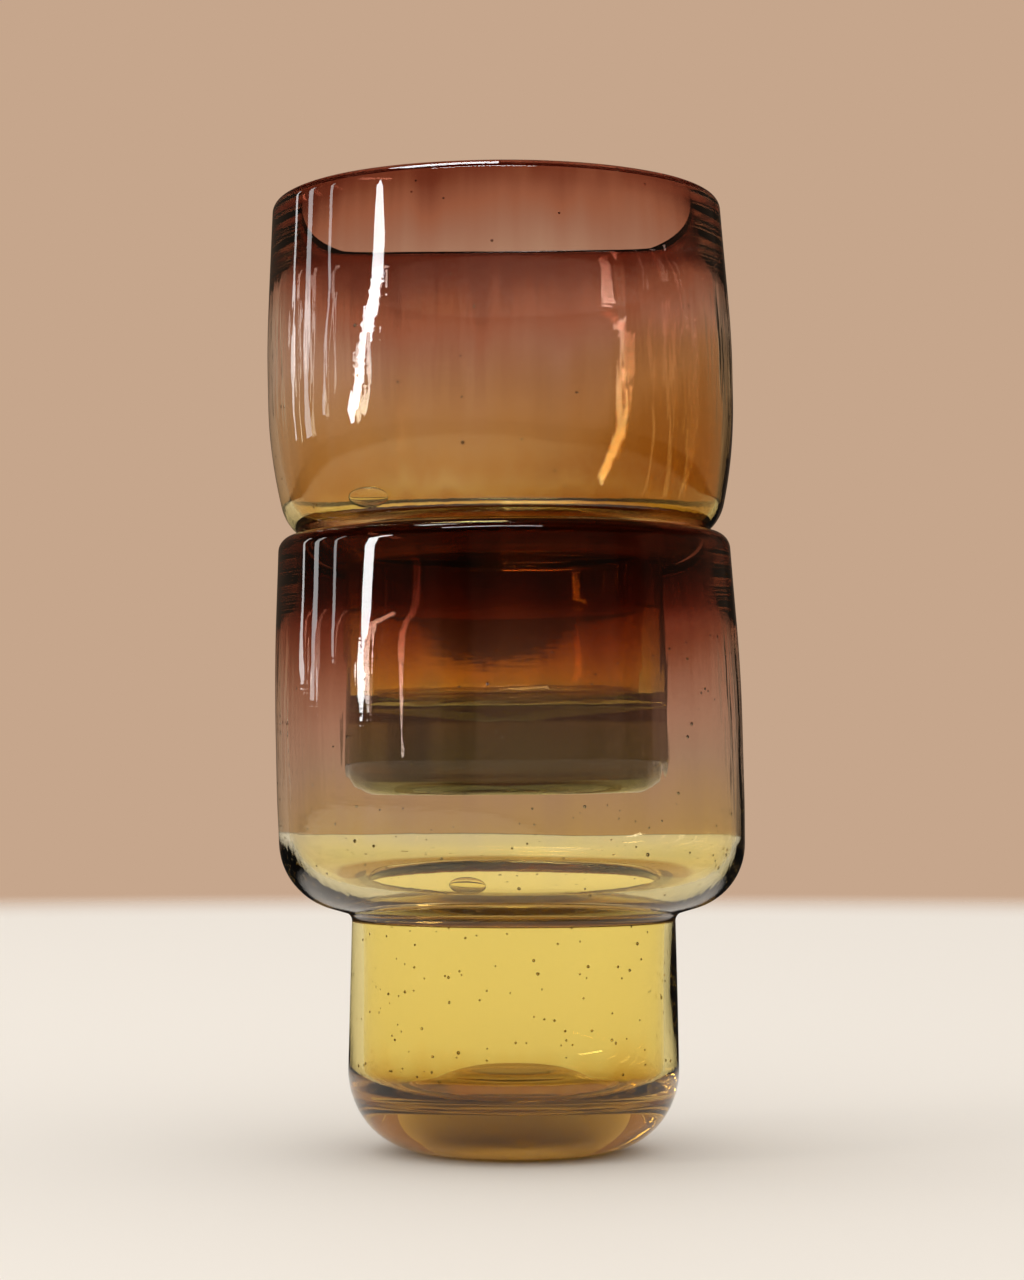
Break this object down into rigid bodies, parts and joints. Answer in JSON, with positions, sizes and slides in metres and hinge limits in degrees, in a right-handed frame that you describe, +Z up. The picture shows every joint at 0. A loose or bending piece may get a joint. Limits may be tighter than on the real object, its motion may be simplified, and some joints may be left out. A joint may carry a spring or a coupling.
{
  "type": "tumbler",
  "caption": "Hand-blown glass tumblers, each a wide bowl on a narrower heavy foot, that stack: the upper foot nests in the lower bowl and its shoulder rests on the lower rim.",
  "frame": {"origin": "centre of the lower tumbler's standing face, on the table", "axes": "+Z up through the stack, -Y towards the viewer, +X to the viewer's right"},
  "size_m": [0.086, 0.084, 0.1707],
  "materials": {
    "lower_glass": "gloss",
    "upper_glass": "gloss"
  },
  "bodies": {
    "lower": {"lower_tumbler": "lower_glass"},
    "upper": {"upper_tumbler": "upper_glass"}
  },
  "joints": [
    {"name": "upper_lift", "type": "slide", "parent": "lower", "child": "upper", "axis": [0, 0, 1], "range_m": [0, 0.06]}
  ]
}
